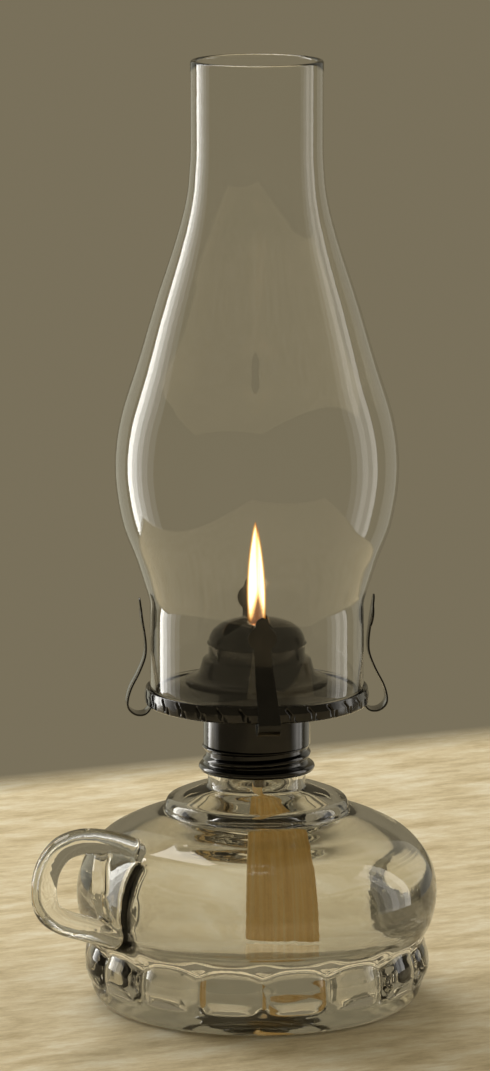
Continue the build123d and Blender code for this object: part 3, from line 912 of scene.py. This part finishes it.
def flame_layer(name, shrink, material):
    """One layer of the flat-wick flame: broad along the wick, thin across it, drawn to a point."""
    rise = np.linspace(0, 1, flame_rows)
    thick = np.interp(rise, flame_rise, flame_thick) - shrink
    broad = np.interp(rise, flame_rise, flame_broad) - shrink
    kernel = np.ones(7) / 7
    thick[3:-3] = np.convolve(thick, kernel, "valid")
    broad[3:-3] = np.convolve(broad, kernel, "valid")
    angle = np.arange(flame_sides) * TURN / flame_sides
    lean = -0.5 * MM * rise
    x = np.maximum(thick, 0)[:, None] * MM * np.cos(angle) + lean[:, None]
    y = np.maximum(broad, 0)[:, None] * MM * np.sin(angle)
    z = np.repeat((flame_low + rise * (flame_tip - flame_low))[:, None], flame_sides, 1)
    keep = thick > 0
    rows = int(keep.sum())
    points = np.stack([x, y, z], 2)[keep].reshape(-1, 3)
    last = (rows - 1) * flame_sides
    ends = [list(range(flame_sides))[::-1], list(range(last, last + flame_sides))]
    faces = list(grid_faces(rows, flame_sides)) + ends
    layer = add_mesh(name, points, faces)
    layer.data.materials.append(material)
    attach(layer, "burner")
    return layer


def flame():
    """Nested layers from a thin orange edge to a near-white core."""
    outer = flame_layer("flame_edge", 0.0, fire("flame_edge", (0.95, 0.36, 0.05), 0.9, 0.14))
    flame_layer("flame_mantle", 0.25, fire("flame_mantle", (1.0, 0.55, 0.14), 1.4, 0.26))
    flame_layer("flame_body", 0.55, fire("flame_body", (1.0, 0.80, 0.40), 2.2, 0.42))
    flame_layer("flame_core", 0.85, fire("flame_core", (1.0, 0.94, 0.72), 3.6, 0.90))
    glow = bpy.data.lights.new("flame_glow", "POINT")
    glow.energy = 0.10
    glow.color = (1.0, 0.55, 0.2)
    glow.shadow_soft_size = 2 * MM
    lamp = bpy.data.objects.new("flame_glow", glow)
    bpy.context.scene.collection.objects.link(lamp)
    lamp.parent = outer
    lamp.location = (0, 0, seat + 46 * MM)
    lamp.visible_camera = False
    lamp.visible_transmission = False
    lamp.visible_glossy = False


# ================= stage =================


def soft_light(name, from_camera, distance, height, size, strength, colour):
    """A rectangular light at an angle round the lamp from the camera, facing it."""
    light = bpy.data.lights.new(name, "AREA")
    light.shape = "RECTANGLE"
    light.size, light.size_y = size
    light.energy = strength * pi * size[0] * size[1]
    light.color = colour
    obj = bpy.data.objects.new(name, light)
    bpy.context.scene.collection.objects.link(obj)
    angle = camera_turn - pi / 2 + from_camera
    obj.location = (distance * cos(angle), distance * sin(angle), height)
    aim = Vector((0, 0, min(0.2, height))) - obj.location
    obj.rotation_euler = aim.to_track_quat("-Z", "Y").to_euler()
    obj.visible_camera = False
    obj.visible_transmission = False


def room():
    """A pale table, an even wall colour all round, a tall light each side and a soft one above."""
    sides, back, front = table_half_width, table_edge_soft, table_front - table_edge_distance
    corners = [(-sides, front, 0), (sides, front, 0), (sides, back, 0), (-sides, back, 0)]
    table = add_mesh("table", corners, [(0, 1, 2, 3)])
    table.rotation_euler = (0, 0, camera_turn + table_edge_turn)
    away = Vector((0, table_edge_distance, 0))
    away.rotate(Euler(table.rotation_euler))
    table.location = away
    table.data.materials.append(table_top())
    world = bpy.data.worlds.new("wall")
    world.use_nodes = True
    background = world.node_tree.nodes["Background"]
    background.inputs["Color"].default_value = (*wall_colour, 1.0)
    bpy.context.scene.world = world
    for i, share in enumerate((1.0, 0.62, 0.36, 0.18, 0.08)):
        turn = radians(-123 + 7.2 * i)
        soft_light("left_light", turn, 1.4, 0.25, (0.18, 2.3), 8.5 * share, (1.0, 0.99, 0.95))
    for i, share in enumerate((0.10, 0.25, 0.5, 0.30, 0.55)):
        turn = radians(84 + 6.4 * i)
        soft_light("right_light", turn, 1.4, 0.25, (0.16, 2.3), 4.6 * share, (1.0, 0.98, 0.93))
    soft_light("left_wall", radians(-146), 1.5, 0.25, (0.75, 2.3), 0.42, (0.98, 1.0, 0.86))
    soft_light("right_wall", radians(140), 1.5, 0.25, (0.75, 2.3), 0.30, (1.0, 1.0, 0.90))
    soft_light("top_light", radians(-155), 0.8, 1.6, (0.9, 0.9), 4.2, (1.0, 0.96, 0.90))


def camera():
    lens = bpy.data.cameras.new("camera")
    lens.lens = camera_lens
    lens.sensor_width = 36
    lens.clip_end = 30
    obj = bpy.data.objects.new("camera", lens)
    bpy.context.scene.collection.objects.link(obj)
    obj.location = (camera_distance * sin(camera_turn), -camera_distance * cos(camera_turn), camera_height)
    obj.rotation_euler = (pi / 2 - camera_pitch, 0, camera_turn + camera_yaw)
    bpy.context.scene.camera = obj


def dress_frame_nodes(gunmetal, steel, brass, white):
    """The CAD pieces whose shape is right keep it, and get their finish."""
    finish = {
        "screw_skirt": gunmetal,
        "burner_shell": gunmetal,
        "air_diffuser": gunmetal,
        "ratchet_cover": gunmetal,
        "thumb_wheel": gunmetal,
        "raiser_shaft": steel,
        "spiked_wheel_front": steel,
        "spiked_wheel_back": steel,
        "shaft_bush": brass,
        "wick_tube": brass,
        "collar_cement": white,
    }
    for name, material in finish.items():
        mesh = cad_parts[name].data
        mesh.materials.clear()
        mesh.materials.append(material)


def main():
    scene = bpy.context.scene
    scene.view_settings.view_transform = "Standard"
    scene.cycles.max_bounces = 24
    scene.cycles.transmission_bounces = 24
    scene.cycles.transparent_max_bounces = 24
    camera()
    room()
    gunmetal = metal("gunmetal", (0.012, 0.0115, 0.011), (0.030, 0.028, 0.026), (0.12, 0.26))
    steel = metal("plain_steel", (0.38, 0.37, 0.35), (0.52, 0.51, 0.48), (0.20, 0.36))
    brass = metal("brass", (0.075, 0.05, 0.02), (0.16, 0.11, 0.05), (0.30, 0.50))
    chimney_glass(clear("chimney_glass", (0.985, 0.992, 0.985), 1.47, 14.0, 0.012))
    font_glass(clear("font_glass", (0.978, 0.992, 0.980), 1.50, 45.0, 0.05))
    oil_fill(clear("lamp_oil", (0.995, 0.975, 0.93), 1.44, 10.0, 0.01))
    collar_ring(gunmetal)
    gallery_dish(gunmetal)
    gallery_rim(gunmetal)
    cone(gunmetal)
    prongs = (("right", 0.0, 0.0), ("back", pi / 2, 1.8), ("left", pi, 0.0), ("front", 1.5 * pi, 2.0))
    for name, angle, lean in prongs:
        bent_prong(angle, name, lean * MM, gunmetal)
    wick_strap(cotton())
    flame()
    dress_frame_nodes(gunmetal, steel, brass, plaster())


main()
bpy.context.view_layer.update()
